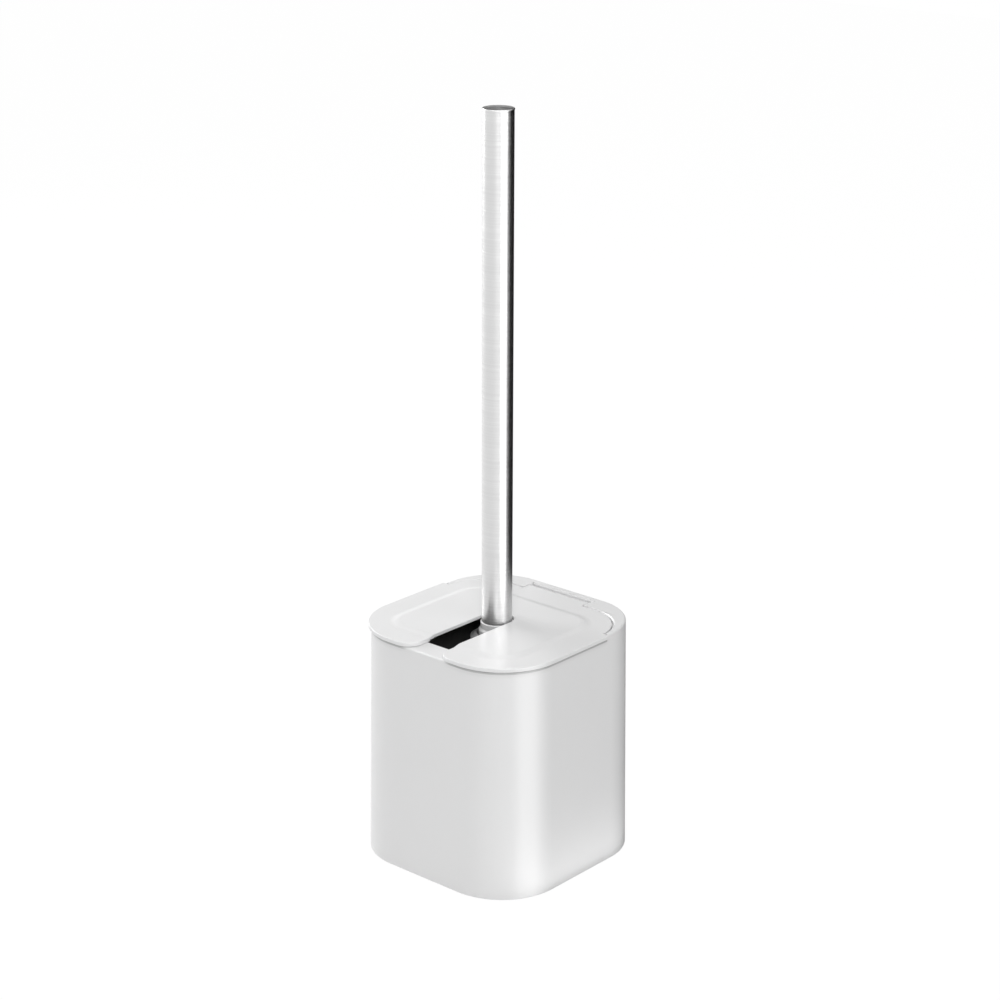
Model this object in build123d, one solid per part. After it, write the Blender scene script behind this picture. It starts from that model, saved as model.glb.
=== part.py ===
from build123d import *
import math
import os

os.makedirs("parts", exist_ok=True)

# Body outline: a rounded square that leans in toward the top
base_x = 58.5
base_y = 59.0
base_corner = 34.5
lean = 2.0
cup_top = 120.0
rim_rise = 9.0
rim_top = cup_top + rim_rise
foot_proud = 0.6
wall = 2.4
edge_round = 1.0
past = 1.0
root_in = 0.5

# Deck, mouth and rear rim
deck_drop = 2.3
deck_thick = 2.2
mouth_half = 44.4
mouth_corner = 22.0
rim_front = 21.0
rim_inner_x = 54.5
rim_inner_y = 44.2
rim_inner_corner = 24.8
rim_chamfer = 0.6
lid_gap = 0.8
rear_gap = 0.9

# Lid
lid_thick = 2.0
lid_sheet = 1.2
recess_in = 1.0
solid_from = 34.0
overhang = 1.5
panel_x = 43.8
panel_front = -45.0
panel_rear = 32.0
panel_corner = 16.0
panel_slope = 3.7
panel_raise = 0.9
panel_thick = 1.8
panel_soft = 8.0
slot_half = 9.0
mouth_round = 9.0
tab_half = 20.6
tab_gap = 0.6
tab_root = 5.0
lid_edge = 0.4
deck_edge = 1.2
mouth_edge = 0.5
pip_radius = 2.5
pip_at = 42.5

# Hinge
hinge_y = 48.4
hinge_depth = 2.9
knuckle_radius = 2.8
notch_rear = 52.5
notch_chamfer = 0.8
lug_front = 4.0
pin_radius = 1.25
press_clear = 0.02
run_clear = 0.06
pin_length = 14.0
pin_end_gap = 0.5
pin_in_lid = 8.0
lug_width = 6.0
lug_depth = 8.2

# Cup
cup_half_top = 44.6
cup_half_floor = 42.6
cup_corner = 22.0
cup_wall = 1.8
floor_thick = 2.4
base_gap = 0.3
ledge_length = 14.0
ledge_reach = 3.2
ledge_height = 9.0
stand_top = 28.6
stand_length = 30.0
stand_thick = 2.2
foot_radius = 6.0
foot_seat = 1.0
foot_fit = 0.1
foot_x = 40.0
foot_y = 40.0

# Brush, on its own axis a little forward of the middle
brush_y = -1.5
pole_radius = 8.0
pole_wall = 0.8
pole_top = 398.0
cap_lip = 0.2
cap_thick = 1.0
cap_plug = 9.0
fit_clear = 0.05
cap_dome = 0.3
ferrule_radius = 8.6
ferrule_foot = 9.6
ferrule_top = rim_top - 0.5
ferrule_step = rim_top - 3.8
ferrule_wide = rim_top - 5.0
neck_z = rim_top - 11.0
socket_radius = 10.7
socket_top = rim_top - 6.6
shoulder_radius = 13.9
shoulder_edge = rim_top - 8.8
shoulder_low = rim_top - 17.0
shoulder_ease = 1.5
soft_edge = 0.3
stud_gap = 0.5
core_radius = 9.0
core_low = 42.0
plug_top = neck_z + 25.0
plug_flange = 1.0
stud_radius = 4.0
stud_low = neck_z - 20.0
stud_top = neck_z + 21.0

# Bristles
sleeve_radius = 11.0
sleeve_low = 46.0
sleeve_top = shoulder_low - 8.0
brush_radius = 34.0
brush_low = 29.2
brush_high = shoulder_low - 6.0
full_low = 60.0
full_high = brush_high - 22.0
roundness = 2.4
strand_width = 0.9
strand_root = 0.7
row_margin = 2.5
tilt_low = -32.0
tilt_high = 6.0
side_rows = 15
strands_round = 22
end_thick = 3.4

shell_low = foot_proud
deck_top = rim_top - deck_drop
deck_low = deck_top - deck_thick
hinge_z = rim_top - hinge_depth
lid_low = rim_top - lid_thick
sheet_low = rim_top - lid_sheet
mouth_rear = hinge_y - lug_front
rear_lid_y = rim_inner_y - rear_gap
rear_lid_x = rim_inner_x - lid_gap


def lean_at(z):
    return lean * (z - shell_low) / (rim_top - shell_low)


def outline(z, inset):
    d = lean_at(z) + inset
    return Pos(0, 0, z) * RectangleRounded(2 * (base_x - d), 2 * (base_y - d), base_corner - d)


def body(z0, z1, inset):
    return loft([outline(z0, inset), outline(z1, inset)], ruled=True)


def block(x0, x1, y0, y1, z0, z1):
    size = Box(x1 - x0, y1 - y0, z1 - z0)
    return Pos((x0 + x1) / 2, (y0 + y1) / 2, (z0 + z1) / 2) * size


def rod_z(x, y, z0, z1, radius):
    return Pos(x, y, (z0 + z1) / 2) * Cylinder(radius, z1 - z0)


def rod_x(x0, x1, y, z, radius):
    return Pos((x0 + x1) / 2, y, z) * Rot(0, 90, 0) * Cylinder(radius, x1 - x0)


def plate(shape, z0, z1):
    return extrude(Pos(0, 0, z0) * shape, z1 - z0)


def span(x_half, y0, y1, corner):
    return Pos(0, (y0 + y1) / 2) * RectangleRounded(2 * x_half, y1 - y0, corner)


def save(name, solids):
    shape = solids[0] if len(solids) == 1 else Compound(children=solids)
    shape.label = name
    export_step(shape, "parts/" + name + ".step")


# Outer shell: walls, deck, rim, hinge lugs and the ledges that sit on the cup's base
full = body(shell_low, rim_top, 0)
full = fillet(full.faces().sort_by(Axis.Z)[-1].edges(), edge_round)
hollow = body(shell_low - past, deck_low, wall)
shell = full - hollow

pocket = span(rim_inner_x, -rim_inner_y, rim_inner_y, rim_inner_corner)
above = plate(pocket, deck_top, rim_top + past)
above = above + block(-base_x, base_x, -base_y, rim_front, deck_top, rim_top + past)
shell = shell - above
c = rim_chamfer
eased = span(rim_inner_x + c, -rim_inner_y - c, rim_inner_y + c, rim_inner_corner + c)
shell = shell - loft([Pos(0, 0, rim_top - c) * pocket, Pos(0, 0, rim_top) * eased], ruled=True)

under_rim = extrude(outline(deck_low - root_in, wall), rim_top - wall - deck_low + root_in)
under_rim = under_rim - block(-base_x, base_x, -base_y, rim_inner_y + wall, 0, rim_top)
shell = shell - under_rim

lug_out = tab_half + tab_gap + lug_width
lug_low = rim_top - lug_depth
lugs = block(-lug_out, lug_out, mouth_rear, base_y, lug_low, deck_top)
lugs = lugs & body(shell_low, rim_top, root_in)
shell = shell + lugs
mouth = span(mouth_half, -mouth_half, mouth_rear, mouth_corner)
shell = shell - plate(mouth, lug_low - past, rim_top + past)
notch_half = tab_half + tab_gap
shell = shell - block(-notch_half, notch_half, 0, notch_rear, lug_low - past, rim_top + past)
c = notch_chamfer
notch_edge = Pos(0, notch_rear / 2, rim_top - c) * Rectangle(2 * notch_half, notch_rear)
notch_wide = Pos(0, (notch_rear + c) / 2, rim_top) * Rectangle(2 * notch_half, notch_rear + c)
shell = shell - loft([notch_edge, notch_wide], ruled=True)
shell = shell - rod_x(-lug_out - past, lug_out + past, hinge_y, hinge_z, pin_radius + press_clear)

base_top = foot_proud + floor_thick
ledge_zone = body(base_top, base_top + ledge_height, wall - root_in)
ledge_zone = ledge_zone - body(base_top - past, base_top + ledge_height + past, wall + ledge_reach)
ledge_half = ledge_length / 2
ledge_cross = block(-base_x, base_x, -ledge_half, ledge_half, 0, base_top + ledge_height)
ledge_cross = ledge_cross + block(-ledge_half, ledge_half, -base_y, base_y, 0, base_top + ledge_height)
shell = shell + (ledge_zone & ledge_cross)


def deck_line(shape, outer):
    face = [f for f in shape.faces() if abs(f.center().Z - deck_top) < 0.01][0]
    chosen = []
    for edge in face.outer_wire().edges():
        box = edge.bounding_box()
        far = max(box.max.X, -box.min.X, -box.min.Y)
        if edge.center().Y < rim_front - past and (far > mouth_half + past) == outer:
            chosen.append(edge)
    return chosen


shell = fillet(deck_line(shell, True), deck_edge)
shell = fillet(deck_line(shell, False), mouth_edge)
save("outer_shell", [shell.solid()])

# Lid: plate with raised panel, slot, tab and knuckle
front_half = base_x - lean + overhang
front_y = base_y - lean + overhang
front_corner = base_corner - lean + overhang
front = span(front_half, -front_y, front_y, front_corner)
wing_end = rim_front - lid_gap
front = front & (Pos(0, (wing_end - front_y) / 2) * Rectangle(2 * front_half, wing_end + front_y))
rear = span(rear_lid_x, -rear_lid_y, rear_lid_y, rim_inner_corner - lid_gap)
tab_from = rear_lid_y - tab_root
tab = Pos(0, (tab_from + hinge_y) / 2) * Rectangle(2 * tab_half, hinge_y - tab_from)
lid = plate(front + rear + tab, lid_low, rim_top)

foot_line = span(panel_x, panel_front, panel_rear, panel_corner)
s = panel_slope
crest_z = rim_top + panel_raise
crest_line = span(panel_x - s, panel_front + s, panel_rear - s, panel_corner - s)
panel = loft([Pos(0, 0, rim_top) * foot_line, Pos(0, 0, crest_z) * crest_line], ruled=True)
lid = lid + panel
crest = [e for e in lid.edges() if abs(e.center().Z - crest_z) < 0.01]
lid = fillet(crest, panel_soft)
top_face = [f for f in lid.faces() if abs(f.center().Z - rim_top) < 0.01][0]
lid = fillet(top_face.inner_wires()[0].edges(), panel_soft)

recess_half = mouth_half - recess_in
recess = span(recess_half, -recess_half, solid_from, mouth_corner)
lid = lid - plate(recess, lid_low - past, sheet_low)
s2 = panel_slope + panel_raise
recess_line = span(panel_x - s2, panel_front + s2, panel_rear - s2, panel_corner - s2)
lid = lid - plate(recess_line, lid_low - past, crest_z - panel_thick)

mouth_y = -front_y
curl = mouth_y + mouth_round
wide = slot_half + mouth_round
with BuildSketch() as slot_plan:
    with BuildLine():
        Line((slot_half, brush_y), (slot_half, curl))
        RadiusArc((slot_half, curl), (wide, mouth_y), -mouth_round)
        Line((wide, mouth_y), (wide, mouth_y - past))
        Line((wide, mouth_y - past), (-wide, mouth_y - past))
        Line((-wide, mouth_y - past), (-wide, mouth_y))
        RadiusArc((-wide, mouth_y), (-slot_half, curl), -mouth_round)
        Line((-slot_half, curl), (-slot_half, brush_y))
        ThreePointArc((-slot_half, brush_y), (0, brush_y + slot_half), (slot_half, brush_y))
    make_face()
lid = lid - plate(slot_plan.sketch, lid_low - past, crest_z + past)
lid = lid + rod_x(-tab_half, tab_half, hinge_y, hinge_z, knuckle_radius)
top_edges = []
for face in lid.faces():
    if abs(face.normal_at().Z) < 0.01:
        for edge in face.edges():
            if edge.bounding_box().min.Z > rim_top - 0.01 and edge.center().Y < hinge_y - past:
                top_edges.append(edge)
lid = fillet(top_edges, lid_edge)
for side in (-1, 1):
    bore_in = side * (tab_half - pin_in_lid - pin_end_gap)
    bore_out = side * (tab_half + past)
    low_end = min(bore_in, bore_out)
    high_end = max(bore_in, bore_out)
    lid = lid - rod_x(low_end, high_end, hinge_y, hinge_z, pin_radius + run_clear)
    lid = lid + rod_z(side * pip_at, -pip_at, deck_top, sheet_low, pip_radius)
save("lid", [lid.solid()])

# Hinge pins, pressed through the lugs into the ends of the lid's knuckle
pins = []
for side in (-1, 1):
    start = side * (tab_half - pin_in_lid)
    end = start + side * pin_length
    pins.append(rod_x(min(start, end), max(start, end), hinge_y, hinge_z, pin_radius).solid())
save("hinge_pins", pins)

# Inner cup with its base flange, drip stand and seats for the feet
flange_inset = wall + base_gap
cup = body(foot_proud, base_top, flange_inset)


def cup_line(z, inset):
    t = (z - base_top) / (cup_top - base_top)
    half = cup_half_floor + t * (cup_half_top - cup_half_floor) - inset
    return Pos(0, 0, z) * RectangleRounded(2 * half, 2 * half, cup_corner - inset)


cup = cup + loft([cup_line(base_top - root_in, -cup_wall), cup_line(cup_top, -cup_wall)], ruled=True)
cup = cup - loft([cup_line(base_top, 0), cup_line(cup_top + past, 0)], ruled=True)
half_stand = stand_length / 2
fin = stand_thick / 2
cup = cup + block(-half_stand, half_stand, brush_y - fin, brush_y + fin, base_top - root_in, stand_top)
cup = cup + block(-fin, fin, brush_y - half_stand, brush_y + half_stand, base_top - root_in, stand_top)
feet = []
for sx in (-1, 1):
    for sy in (-1, 1):
        cup = cup - rod_z(sx * foot_x, sy * foot_y, 0, foot_proud + foot_seat, foot_radius + foot_fit)
        feet.append(rod_z(sx * foot_x, sy * foot_y, 0, foot_proud + foot_seat, foot_radius).solid())
save("inner_cup", [cup.solid()])
save("foot_pads", feet)


# Pole: tube, cap, plug and ferrule
def turned(points):
    with BuildSketch(Plane.XZ) as section:
        with BuildLine():
            Polyline(*points, close=True)
        make_face()
    return Pos(0, brush_y, 0) * revolve(section.sketch, Axis.Z)


tube_low = neck_z + plug_flange
tube_top = pole_top - cap_thick
bore = pole_radius - pole_wall
tube = turned([(bore, tube_low), (pole_radius, tube_low), (pole_radius, tube_top), (bore, tube_top)])
save("pole_tube", [tube.solid()])

cap_radius = pole_radius + cap_lip
cap_edge = pole_top - cap_dome
plug_radius = bore - fit_clear
cap = turned([
    (0, pole_top), (0, tube_top - cap_plug), (plug_radius, tube_top - cap_plug), (plug_radius, tube_top),
    (cap_radius, tube_top), (cap_radius, cap_edge - soft_edge),
    (cap_radius - soft_edge, cap_edge), (cap_radius - soft_edge, pole_top),
])
dome_flat = cap_radius - soft_edge
dome_radius = (dome_flat ** 2 + cap_dome ** 2) / (2 * cap_dome)
cap = cap & (Pos(0, brush_y, pole_top - dome_radius) * Sphere(dome_radius))
save("pole_end_cap", [cap.solid()])

thread_bore = stud_radius + fit_clear
plug = turned([
    (thread_bore, neck_z), (pole_radius, neck_z), (pole_radius, tube_low),
    (plug_radius, tube_low), (plug_radius, plug_top), (0, plug_top),
    (0, stud_top + stud_gap), (thread_bore, stud_top + stud_gap),
])
save("tube_plug", [plug.solid()])

ring_bore = pole_radius + fit_clear
ferrule = turned([
    (ring_bore, neck_z), (ferrule_foot, neck_z), (ferrule_foot, ferrule_wide),
    (ferrule_radius, ferrule_step), (ferrule_radius, ferrule_top - soft_edge),
    (ferrule_radius - soft_edge, ferrule_top), (ring_bore, ferrule_top),
])
save("pole_ferrule", [ferrule.solid()])

stud = turned([(0, stud_low), (stud_radius, stud_low), (stud_radius, stud_top), (0, stud_top)])
save("brush_stud", [stud.solid()])

# Brush head: hub with a socket for the ferrule's foot, a sloping shoulder and a core
hub = turned([
    (thread_bore, neck_z), (socket_radius, neck_z), (socket_radius, socket_top - soft_edge),
    (socket_radius + soft_edge, socket_top), (shoulder_radius - 2 * soft_edge, shoulder_edge + soft_edge),
    (shoulder_radius, shoulder_edge), (shoulder_radius, shoulder_low + shoulder_ease),
    (shoulder_radius - shoulder_ease, shoulder_low), (core_radius, shoulder_low),
    (core_radius, core_low), (0, core_low), (0, stud_low - stud_gap), (thread_bore, stud_low - stud_gap),
])
save("brush_hub", [hub.solid()])


# Bristles: straight four-sided strands that fan out from a slice of their backing
def strand(start, direction, length):
    plane = Plane(origin=start, z_dir=direction)
    return extrude(plane * Rectangle(strand_width, strand_width), length).solid()


sleeve_bore = core_radius + fit_clear
sleeve = turned([
    (sleeve_bore, sleeve_low), (sleeve_radius, sleeve_low),
    (sleeve_radius, sleeve_top), (sleeve_bore, sleeve_top),
])


def envelope(z):
    low = max(0.0, full_low - z) / (full_low - brush_low)
    high = max(0.0, z - full_high) / (brush_high - full_high)
    far = min(1.0, max(low, high))
    return brush_radius * (1 - far ** roundness) ** (1 / roundness)


def reach(start_r, start_z, tilt):
    near = 0.0
    far = 60.0
    for step in range(40):
        length = (near + far) / 2
        inside = start_r + length * math.cos(tilt) < envelope(start_z + length * math.sin(tilt))
        near, far = (length, far) if inside else (near, length)
    return near


strands = []
root = sleeve_radius - strand_root
for row in range(side_rows):
    t = row / (side_rows - 1)
    z = sleeve_low + row_margin + t * (sleeve_top - sleeve_low - 2 * row_margin)
    tilt = math.radians(tilt_low + t * (tilt_high - tilt_low))
    for n in range(strands_round):
        a = math.radians(360 / strands_round * (n + 0.5 * (row % 2)))
        out = (math.cos(a) * math.cos(tilt), math.sin(a) * math.cos(tilt), math.sin(tilt))
        start = (root * math.cos(a), brush_y + root * math.sin(a), z)
        strands.append(strand(start, out, reach(root, z, tilt)))
side = sleeve.solid().fuse(*strands)
save("side_bristles", [side.solid()])

end_low = core_low - end_thick
end_plate = turned([
    (0, end_low), (core_radius - 1, end_low), (core_radius + 1, end_low + 2),
    (core_radius + 1, core_low), (0, core_low),
])
strands = []
rings = [(1, 0.0, 0), (6, 2.6, 14), (12, 4.8, 29), (18, 6.6, 44), (22, 8.2, 58)]
for ring, (count, offset, splay) in enumerate(rings):
    z = end_low + strand_root
    tilt = math.radians(splay - 90)
    for n in range(count):
        a = math.radians(360 / count * (n + 0.5 * (ring % 2)))
        out = (math.cos(a) * math.cos(tilt), math.sin(a) * math.cos(tilt), math.sin(tilt))
        start = (offset * math.cos(a), brush_y + offset * math.sin(a), z)
        strands.append(strand(start, out, reach(offset, z, tilt)))
end = end_plate.solid().fuse(*strands)
save("end_bristles", [end.solid()])
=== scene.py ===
import math
import random

import bmesh
import bpy
from mathutils import Matrix, Vector


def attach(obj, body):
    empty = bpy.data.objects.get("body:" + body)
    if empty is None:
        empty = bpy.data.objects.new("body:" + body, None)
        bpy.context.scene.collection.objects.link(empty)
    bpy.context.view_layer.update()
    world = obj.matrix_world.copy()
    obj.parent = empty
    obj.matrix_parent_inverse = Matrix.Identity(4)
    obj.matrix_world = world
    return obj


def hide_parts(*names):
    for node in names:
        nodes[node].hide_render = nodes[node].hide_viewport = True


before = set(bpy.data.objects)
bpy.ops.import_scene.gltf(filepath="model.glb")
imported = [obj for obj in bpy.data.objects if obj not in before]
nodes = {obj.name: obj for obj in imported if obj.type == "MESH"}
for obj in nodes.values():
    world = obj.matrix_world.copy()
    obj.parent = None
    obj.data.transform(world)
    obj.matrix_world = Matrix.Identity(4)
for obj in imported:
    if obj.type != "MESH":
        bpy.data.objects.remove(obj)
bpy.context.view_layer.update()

scene = bpy.context.scene
scene.view_settings.view_transform = "Standard"
mm = 0.001  # the frame is in metres


def plug(tree, socket, value):  # a wire is linked, anything else is set
    if isinstance(value, Wire):
        tree.links.new(value.socket, socket)
    else:
        socket.default_value = value


class Wire:  # one output of a node, with plain sums on it
    def __init__(self, tree, socket):
        self.tree = tree
        self.socket = socket

    def maths(self, kind, left, right=0.0):
        step = self.tree.nodes.new("ShaderNodeMath")
        step.operation = kind
        plug(self.tree, step.inputs[0], left)
        plug(self.tree, step.inputs[1], right)
        return Wire(self.tree, step.outputs[0])

    def __add__(self, other):
        return self.maths("ADD", self, other)

    def __radd__(self, other):
        return self.maths("ADD", other, self)

    def __sub__(self, other):
        return self.maths("SUBTRACT", self, other)

    def __rsub__(self, other):
        return self.maths("SUBTRACT", other, self)

    def __mul__(self, other):
        return self.maths("MULTIPLY", self, other)

    def __rmul__(self, other):
        return self.maths("MULTIPLY", other, self)

    def __abs__(self):
        return self.maths("ABSOLUTE", self)

    def upTo(self, limit):
        return self.maths("MINIMUM", self, limit)


class Board:  # the nodes of one material, or of the room
    def __init__(self, tree):
        self.tree = tree

    def node(self, kind, settings=None, sockets=None, out=0):
        step = self.tree.nodes.new(kind)
        for key, value in (settings or {}).items():
            setattr(step, key, value)
        for key, value in (sockets or {}).items():
            plug(self.tree, step.inputs[key], value)
        return Wire(self.tree, step.outputs[out])

    def feed(self, name, **values):  # sockets of a node that Blender starts with
        for key, value in values.items():
            plug(self.tree, self.tree.nodes[name].inputs[key.replace("_", " ")], value)


class Finish(Board):  # one material, and the patterns that its looks need
    def __init__(self, name):
        self.material = bpy.data.materials.new(name)
        self.material.use_nodes = True
        super().__init__(self.material.node_tree)

    def set(self, **values):
        self.feed("Principled BSDF", **values)
        return self

    def place(self, scale=(1.0, 1.0, 1.0), shift=(0.0, 0.0, 0.0)):
        spot = self.node("ShaderNodeTexCoord", out="Object")
        return self.node("ShaderNodeMapping", None, {"Vector": spot, "Scale": scale, "Location": shift})

    def noise(self, scale, detail=2.0, rough=0.5, spot=None):
        spot = spot or self.place()
        sockets = {"Vector": spot, "Scale": scale, "Detail": detail, "Roughness": rough}
        return self.node("ShaderNodeTexNoise", None, sockets, "Fac")

    def blend(self, mask, dark, light):
        first, second = (side if isinstance(side, Wire) else (*side, 1.0) for side in (dark, light))
        sockets = {0: mask, 6: first, 7: second}  # the Mix node's colour sockets
        return self.node("ShaderNodeMix", {"data_type": "RGBA"}, sockets, 2)

    def fade(self, value, start, end):
        sockets = {"Value": value, "From Min": start, "From Max": end}
        return self.node("ShaderNodeMapRange", {"interpolation_type": "SMOOTHSTEP"}, sockets)

    def bump(self, height, strength, depth):
        return self.node("ShaderNodeBump", None, {"Strength": strength, "Distance": depth, "Height": height})


# Shell and lid: white plastic, faintly uneven from the mould
whiteLook = {
    "dark": (0.775, 0.775, 0.778), "light": (0.815, 0.815, 0.815), "cloud": 9.0,
    "rough": 0.29, "roughSpread": 0.05, "shine": 0.8,
    "peel": 150.0, "bump": 0.06, "depth": 0.0002,
}
# Painted shadow on the shell, in metres: a dark line under the lid's overhanging edge, where its shadow falls
paintedShadowLook = {
    "tone": (0.1, 0.1, 0.1), "soft": 0.08, "deep": 0.36,
    "faint": 0.1225, "low": 0.1248, "full": 0.1254,  # heights where it starts, deepens and is full
    "top": (0.1262, 0.1266),  # the flat deck stays white
    "slot": (0.012, 0.018), "rear": (0.020, 0.021),  # it ends beside the slot and at the rear rim
}
# Painted shade on two chamfers of the rear rim, as on the shell under the lid: the stretch that it fills, and its
# depth
paintedGrooveShade = {
    "notch": {
        "front": (0.0521, 0.0524), "rear": (0.0532, 0.0534), "side": (0.0217, 0.0224),
        "low": (0.1278, 0.1281), "deep": 0.25,
    },
    "rim": {
        "front": (0.0425, 0.0438), "rear": (0.0447, 0.0449), "side": (0.034, 0.044),
        "low": (0.1282, 0.1284), "deep": 0.25,
    },
}


# Painted shadow: a mask of where the shell's colour is darkened, under the lid's edge and on two rear chamfers
def paintedShadowMask(finish, shadowPaint):
    spot = {"Vector": finish.place()}
    x, y, z = (finish.node("ShaderNodeSeparateXYZ", None, spot, axis) for axis in "XYZ")
    across = abs(x)
    soft = finish.fade(z, shadowPaint["faint"], shadowPaint["full"]) * shadowPaint["soft"]
    deep = finish.fade(z, shadowPaint["low"], shadowPaint["full"]) * shadowPaint["deep"]
    beside = finish.fade(across, *shadowPaint["slot"])
    ahead = 1.0 - finish.fade(y, *shadowPaint["rear"])
    below = 1.0 - finish.fade(z, *shadowPaint["top"])
    shade = (soft + deep) * beside * ahead * below
    # Painted shade in the two rear chamfers, added to the painted shadow under the lid
    for groove in paintedGrooveShade.values():
        along = finish.fade(y, *groove["front"]) * (1.0 - finish.fade(y, *groove["rear"]))
        inside = (1.0 - finish.fade(across, *groove["side"])) * finish.fade(z, *groove["low"])
        shade = shade + along * inside * groove["deep"]
    return shade


def whitePlastic(name, look, shadowPaint=None):
    finish = Finish(name)
    cloud = finish.noise(look["cloud"], detail=3.0)
    peel = finish.noise(look["peel"])
    colour = finish.blend(cloud, look["dark"], look["light"])
    # The shell's colour is darkened there as painted shadow
    if shadowPaint:
        colour = finish.blend(paintedShadowMask(finish, shadowPaint), colour, shadowPaint["tone"])
    finish.set(Base_Color=colour)
    finish.set(Roughness=look["rough"] + look["roughSpread"] * cloud)
    finish.set(Normal=finish.bump(peel, look["bump"], look["depth"]))
    finish.set(Specular_IOR_Level=look["shine"])
    return finish.material


# Pole: steel brushed in rings, fine ones over wider ones
steelLook = {
    "dark": (0.58, 0.58, 0.58), "light": (0.77, 0.77, 0.77), "rough": (0.17, 0.51),
    "fine": (30.0, 30.0, 5200.0), "fineShare": 0.4,
    "wide": (18.0, 18.0, 1144.0), "wideShift": (3.0, 1.0, 7.0), "wideShare": 0.6,
    "bump": 0.5, "depth": 0.0001, "stretch": 0.5, "stretchTurn": 0.25,
}


def brushedSteel(name, look):
    finish = Finish(name)
    fine = finish.noise(1.0, detail=2.0, rough=0.6, spot=finish.place(look["fine"]))
    wide = finish.noise(1.0, detail=1.0, rough=0.5, spot=finish.place(look["wide"], look["wideShift"]))
    lines = fine * look["fineShare"] + wide * look["wideShare"]
    smooth, scratched = look["rough"]
    finish.set(Base_Color=finish.blend(lines, look["dark"], look["light"]))
    finish.set(Roughness=smooth + (scratched - smooth) * lines)
    finish.set(Normal=finish.bump(wide, look["bump"], look["depth"]))
    finish.set(Metallic=1.0, Anisotropic=look["stretch"], Anisotropic_Rotation=look["stretchTurn"])
    return finish.material


# Cup, ferrule, hub, feet and bristles: plain plastics with a fine grain
plainLook = {"cloud": 14.0, "grain": 900.0, "roughSpread": 0.10, "bump": 0.12, "depth": 0.0002}
plainTones = {
    "cupBlack": {"dark": (0.15, 0.15, 0.151), "light": (0.175, 0.175, 0.176), "rough": 0.36},
    "hubPlastic": {"dark": (0.68, 0.68, 0.68), "light": (0.73, 0.73, 0.73), "rough": 0.34},
    # Painted shade: the hub's light plastic darkened where the lid shades it
    "hubPlasticShaded": {"dark": (0.28, 0.28, 0.28), "light": (0.33, 0.33, 0.33), "rough": 0.34},
    "footRubber": {"dark": (0.10, 0.10, 0.10), "light": (0.15, 0.15, 0.15), "rough": 0.7},
    "bristleWhite": {"dark": (0.72, 0.72, 0.71), "light": (0.84, 0.84, 0.83), "rough": 0.38},
}


def plainPlastic(name, tones):
    finish = Finish(name)
    cloud = finish.noise(plainLook["cloud"], detail=3.0)
    grain = finish.noise(plainLook["grain"])
    finish.set(Base_Color=finish.blend(cloud, tones["dark"], tones["light"]))
    finish.set(Roughness=tones["rough"] + plainLook["roughSpread"] * grain)
    finish.set(Normal=finish.bump(grain, plainLook["bump"], plainLook["depth"]))
    return finish.material


whiteShell = whitePlastic("whiteShell", whiteLook, paintedShadowLook)
whiteLid = whitePlastic("whiteLid", whiteLook)
poleSteel = brushedSteel("poleSteel", steelLook)
plain = {name: plainPlastic(name, tones) for name, tones in plainTones.items()}
pieceFinishes = {
    "outer_shell": whiteShell,
    "lid": whiteLid,
    "inner_cup": plain["cupBlack"],
    "foot_pads": plain["footRubber"],
    "hinge_pins": poleSteel,
    "pole_tube": poleSteel,
    "pole_end_cap": poleSteel,
    "tube_plug": plain["hubPlastic"],
    "pole_ferrule": plain["hubPlastic"],
    "brush_stud": poleSteel,
    "brush_hub": plain["hubPlasticShaded"],
}
for name, material in pieceFinishes.items():
    nodes[name].data.materials.clear()
    nodes[name].data.materials.append(material)
print("finishes ready:", len(pieceFinishes), "CAD pieces dressed")


def makeObject(name, bm, material):
    mesh = bpy.data.meshes.new(name)
    bm.to_mesh(mesh)
    bm.free()
    mesh.materials.append(material)
    made = bpy.data.objects.new(name, mesh)
    scene.collection.objects.link(made)
    return made


# Brush head, in mm: filaments set in tufts, fanned as the CAD's plain strands are
headShape = {
    "axis": -1.5, "radius": 34.0, "low": 29.2, "high": 106.0,
    "fullLow": 60.0, "fullHigh": 84.0, "power": 2.4,  # full radius between these heights, rounded off past them
}
tuftLook = {
    "kinds": 6, "strands": 14, "seed": 7,
    "foot": 0.8, "splay": 2.2, "sway": 0.5, "shortest": 0.93,  # shortest is a share of the full length
    "root": 0.24, "tip": 0.15, "sides": 3, "twist": 2.0,
}
sideTufts = {
    "rows": 15, "around": 22, "low": 48.5, "high": 101.5, "root": 10.3, "tiltLow": -32.0, "tiltHigh": 6.0,
    "sleeve": ((9.05, 46.0), (11.0, 46.0), (11.0, 104.0), (9.05, 104.0), (9.05, 46.0)),
}
endTufts = {
    "root": 39.3,
    "rings": (  # tufts, radius, degrees from straight down
        (1, 0.0, 0.0), (6, 2.6, 14.0), (12, 4.8, 29.0), (18, 6.6, 44.0), (22, 8.2, 58.0)),
    "plate": ((0.0, 38.6), (8.0, 38.6), (10.0, 40.6), (10.0, 42.0), (0.0, 42.0)),
}
coreSpin = {"steps": 48, "merge": 0.001}  # the sleeve and the plate that hold the tufts
reachSearch = {"longest": 60.0, "halvings": 30}


def headRadius(z):
    under = max(0.0, headShape["fullLow"] - z) / (headShape["fullLow"] - headShape["low"])
    over = max(0.0, z - headShape["fullHigh"]) / (headShape["high"] - headShape["fullHigh"])
    part = min(1.0, max(under, over))
    return headShape["radius"] * (1.0 - part ** headShape["power"]) ** (1.0 / headShape["power"])


def strandReach(radius, z, tilt):  # how far a strand goes before it meets the head's outline
    near, far = 0.0, reachSearch["longest"]
    for halving in range(reachSearch["halvings"]):
        length = (near + far) / 2
        inside = radius + length * math.cos(tilt) < headRadius(z + length * math.sin(tilt))
        near, far = (length, far) if inside else (near, length)
    return near


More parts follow.
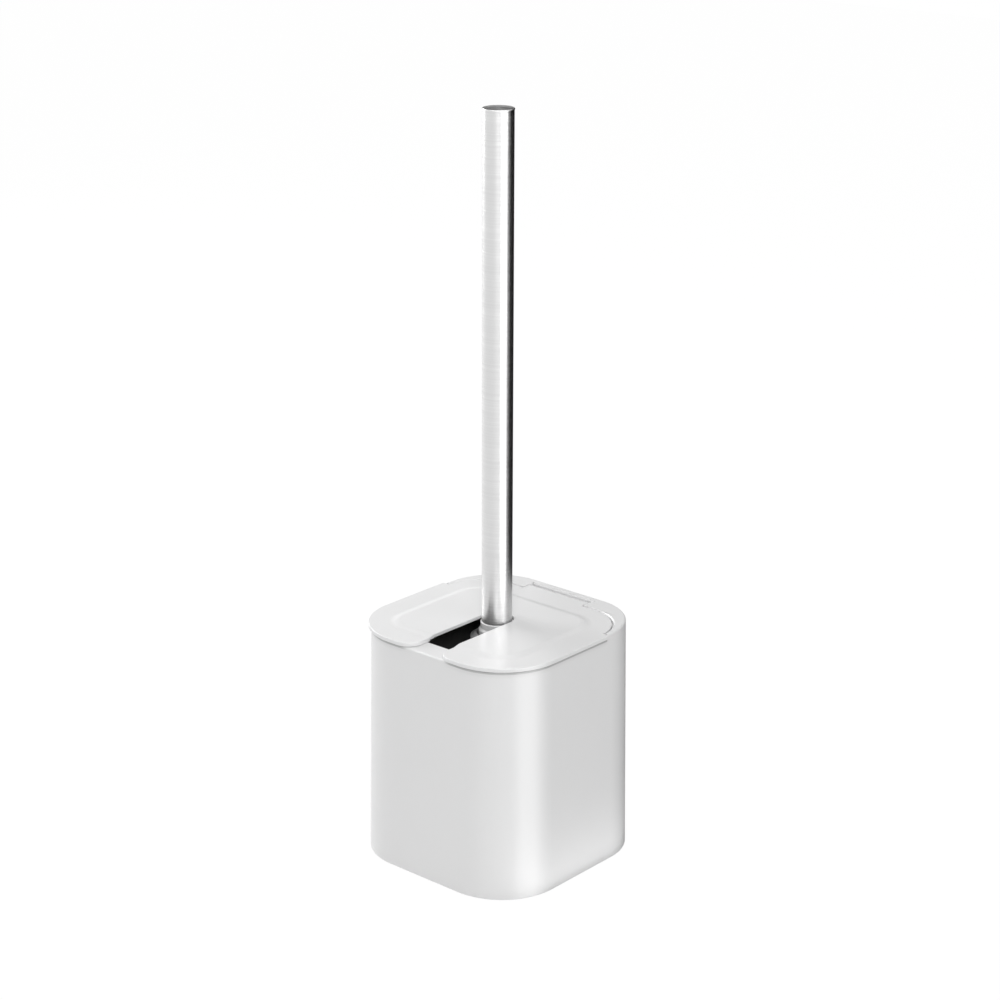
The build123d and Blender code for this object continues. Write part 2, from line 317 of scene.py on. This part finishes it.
def makeTuft(rng, kind):  # one unit long, stretched when it is planted
    sway, shortest = tuftLook["sway"], tuftLook["shortest"]
    sizes = {"radius1": tuftLook["root"], "radius2": tuftLook["tip"], "depth": 1.0}
    bm = bmesh.new()
    for strand in range(tuftLook["strands"]):
        turn = rng.uniform(0.0, 2.0 * math.pi)
        away = Vector((math.cos(turn), math.sin(turn), 0.0)) * math.sqrt(rng.random())
        foot = away * tuftLook["foot"]
        stray = Vector((rng.uniform(-sway, sway), rng.uniform(-sway, sway), rng.uniform(shortest, 1.0)))
        tip = away * tuftLook["splay"] + stray
        lean = Matrix.Translation((foot + tip) / 2)
        lean.col[2] = (tip - foot).to_4d() - Vector((0.0, 0.0, 0.0, 1.0))  # the cone runs from foot to tip
        turned = Matrix.Rotation(rng.uniform(0.0, tuftLook["twist"]), 4, "Z")
        bmesh.ops.create_cone(bm, cap_ends=True, segments=tuftLook["sides"], matrix=lean @ turned, **sizes)
    mesh = bpy.data.meshes.new("tuft" + str(kind))
    bm.to_mesh(mesh)
    bm.free()
    return mesh


def plantTuft(bm, tuft, radius, z, angle, tilt):
    out = Vector((math.cos(angle) * math.cos(tilt), math.sin(angle) * math.cos(tilt), math.sin(tilt)))
    side = Vector((-math.sin(angle), math.cos(angle), 0.0))
    foot = Vector((radius * math.cos(angle), headShape["axis"] + radius * math.sin(angle), z))
    basis = Matrix((side, out.cross(side), out * strandReach(radius, z, tilt))).transposed()
    planted = tuft.copy()
    planted.transform(Matrix.Translation(foot) @ basis.to_4x4())
    bm.from_mesh(planted)
    bpy.data.meshes.remove(planted)


def spinRound(bm, points):  # points are radius and height, meeting at both ends or ending on the axis
    verts = [bm.verts.new((radius, headShape["axis"], z)) for radius, z in points]
    edges = [bm.edges.new(pair) for pair in zip(verts, verts[1:])]
    bmesh.ops.spin(
        bm, geom=verts + edges, cent=(0.0, headShape["axis"], 0.0), axis=(0.0, 0.0, 1.0),
        angle=2.0 * math.pi, steps=coreSpin["steps"], use_merge=True)
    bmesh.ops.remove_doubles(bm, verts=bm.verts, dist=coreSpin["merge"])
    bmesh.ops.recalc_face_normals(bm, faces=bm.faces)


def addPiece(name, bm, body, material, slot, *stoodFor):
    bmesh.ops.scale(bm, vec=(mm, mm, mm), verts=bm.verts)
    piece = makeObject(name, bm, material)
    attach(piece, body)
    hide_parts(*stoodFor)


def addBrush():
    rng = random.Random(tuftLook["seed"])
    tufts = [makeTuft(rng, kind) for kind in range(tuftLook["kinds"])]

    bm = bmesh.new()
    spinRound(bm, sideTufts["sleeve"])
    for row in range(sideTufts["rows"]):
        part = row / (sideTufts["rows"] - 1)
        z = sideTufts["low"] + part * (sideTufts["high"] - sideTufts["low"])
        tilt = math.radians(sideTufts["tiltLow"] + part * (sideTufts["tiltHigh"] - sideTufts["tiltLow"]))
        for spot in range(sideTufts["around"]):
            angle = 2.0 * math.pi * (spot + 0.5 * (row % 2)) / sideTufts["around"]  # every other row is set between
            plantTuft(bm, rng.choice(tufts), sideTufts["root"], z, angle, tilt)
    addPiece("sideFilaments", bm, "brush", plain["bristleWhite"], "white_bristle", "side_bristles")

    bm = bmesh.new()
    spinRound(bm, endTufts["plate"])
    for ring, (count, radius, fan) in enumerate(endTufts["rings"]):
        for spot in range(count):
            angle = 2.0 * math.pi * (spot + 0.5 * (ring % 2)) / count
            plantTuft(bm, rng.choice(tufts), radius, endTufts["root"], angle, math.radians(fan - 90.0))
    addPiece("endFilaments", bm, "brush", plain["bristleWhite"], "white_bristle", "end_bristles")
    for tuft in tufts:
        bpy.data.meshes.remove(tuft)


addBrush()
print("brush head made")


# Camera, at the photograph's angle
view = {
    "place": (0.795264, -0.906780, 0.606430), "turn": 41.231, "down": 18.848, "roll": 0.193,
    "lens": 88.970, "sensor": 36.0, "near": 0.01,
}


def addCamera():
    data = bpy.data.cameras.new("viewCamera")
    data.sensor_fit = "HORIZONTAL"
    data.sensor_width = view["sensor"]
    data.lens = view["lens"]
    data.clip_start = view["near"]
    camera = bpy.data.objects.new("viewCamera", data)
    turn = Matrix.Rotation(math.radians(view["turn"]), 4, "Z")
    tilt = Matrix.Rotation(math.radians(90.0 - view["down"]), 4, "X")
    roll = Matrix.Rotation(math.radians(view["roll"]), 4, "Z")
    camera.matrix_world = Matrix.Translation(view["place"]) @ turn @ tilt @ roll
    scene.collection.objects.link(camera)
    scene.camera = camera


addCamera()
print("camera set")


# Studio: a white room, soft lamps, the floor, and dark cards that only reflections see
studio = {
    "room": 0.43,  # how much the room lights the object, 1 being as bright as it looks
    "floorSize": 6.0, "floorTone": 0.66, "floorGlow": 0.95, "floorWhite": 1.03,
    "lampWatts": 4.0,  # for a square metre of lamp at level 1, as bright as the white room
}
# turn is from the camera's side and rise from level, in degrees
lamps = {
    "keyBox": {"turn": 0.0, "rise": 34.0, "far": 1.70, "height": 0.10, "size": (0.60, 0.60), "level": 6.8},
    "topBox": {"turn": 0.0, "rise": 89.0, "far": 1.40, "height": 0.10, "size": (1.20, 1.20), "level": 0.8},
    "rightBox": {"turn": 60.0, "rise": 25.0, "far": 1.50, "height": 0.10, "size": (1.00, 1.00), "level": 0.8},
    "backBox": {"turn": -130.0, "rise": 25.0, "far": 1.50, "height": 0.10, "size": (1.00, 1.00), "level": 3.2},
    "streakBox": {
        "turn": 43.5, "rise": 0.0, "far": 0.90, "height": 0.0, "size": (0.60, 1.20), "level": 1.55,
        "gloss": True,  # seen only in reflections
    },
    "footGlow": {
        "turn": 0.0, "rise": -90.0, "far": 0.0, "height": 0.001, "size": (0.024, 0.12), "level": 0.7,
        "centre": (0.076, -0.006), "glow": True,  # not seen in reflections
    },
}
darkCards = {
    "sideCard": {"foot": ((0.615, 0.30), (-0.225, 0.30)), "low": -0.50, "high": 0.62},
    "backCard": {"foot": ((-0.28, 1.08), (-1.03, 0.42)), "low": 0.54, "high": 1.4},
}
cardLook = {"Base_Color": (0.0, 0.0, 0.0, 1.0), "Roughness": 1.0, "Specular_IOR_Level": 0.0}


def addRoom():
    world = bpy.data.worlds.new("whiteRoom")
    world.use_nodes = True
    scene.world = world
    room = Board(world.node_tree)
    rays = ("Is Camera Ray", "Is Glossy Ray", "Is Transmission Ray")
    seen, gloss, through = (room.node("ShaderNodeLightPath", out=ray) for ray in rays)
    shown = (seen + gloss + through).upTo(1.0)
    strength = shown * (1.0 - studio["room"]) + studio["room"]
    room.feed("Background", Color=(1.0, 1.0, 1.0, 1.0), Strength=strength)


def addLamp(name, lamp):
    width, height = lamp["size"]
    data = bpy.data.lights.new(name, "AREA")
    data.shape = "RECTANGLE"
    data.size, data.size_y = width, height
    data.energy = studio["lampWatts"] * width * height * lamp["level"]
    light = bpy.data.objects.new(name, data)
    turn = math.radians(view["turn"] - 90.0 + lamp["turn"])
    rise = math.radians(lamp["rise"])
    away = Vector((math.cos(turn) * math.cos(rise), math.sin(turn) * math.cos(rise), math.sin(rise)))
    place = Vector((*lamp.get("centre", (0.0, 0.0)), lamp["height"])) + away * lamp["far"]
    light.matrix_world = Matrix.Translation(place) @ (-away).to_track_quat("-Z", "Y").to_matrix().to_4x4()
    light.visible_camera = False
    light.visible_diffuse = not lamp.get("gloss", False)
    light.visible_glossy = not lamp.get("glow", False)
    scene.collection.objects.link(light)


def addFloor():
    finish = Finish("paleFloor")
    tone = studio["floorTone"]
    diffuse = finish.node("ShaderNodeBsdfDiffuse", None, {"Color": (tone, tone, tone, 1.0)})
    glow = finish.node("ShaderNodeEmission", None, {"Strength": studio["floorWhite"]})
    shown = finish.node("ShaderNodeLightPath", out="Is Camera Ray") * studio["floorGlow"]
    mix = finish.node("ShaderNodeMixShader", None, {0: shown, 1: diffuse, 2: glow})
    finish.feed("Material Output", Surface=mix)
    bm = bmesh.new()
    bmesh.ops.create_grid(bm, x_segments=1, y_segments=1, size=studio["floorSize"] / 2)
    floor = makeObject("paleFloor", bm, finish.material)
    floor.visible_glossy = False  # reflections see the white room instead


def addCard(name, card):
    bm = bmesh.new()
    foot = [bm.verts.new((x, y, card["low"])) for x, y in card["foot"]]
    raised = bmesh.ops.extrude_edge_only(bm, edges=[bm.edges.new(foot)])["geom"]
    top = [part for part in raised if isinstance(part, bmesh.types.BMVert)]
    bmesh.ops.translate(bm, vec=(0.0, 0.0, card["high"] - card["low"]), verts=top)
    flag = makeObject(name, bm, Finish(name).set(**cardLook).material)
    flag.visible_camera = False
    flag.visible_shadow = False
    flag.visible_diffuse = False


addRoom()
for name, lamp in lamps.items():
    addLamp(name, lamp)
addFloor()
for name, card in darkCards.items():
    addCard(name, card)
print("studio set")
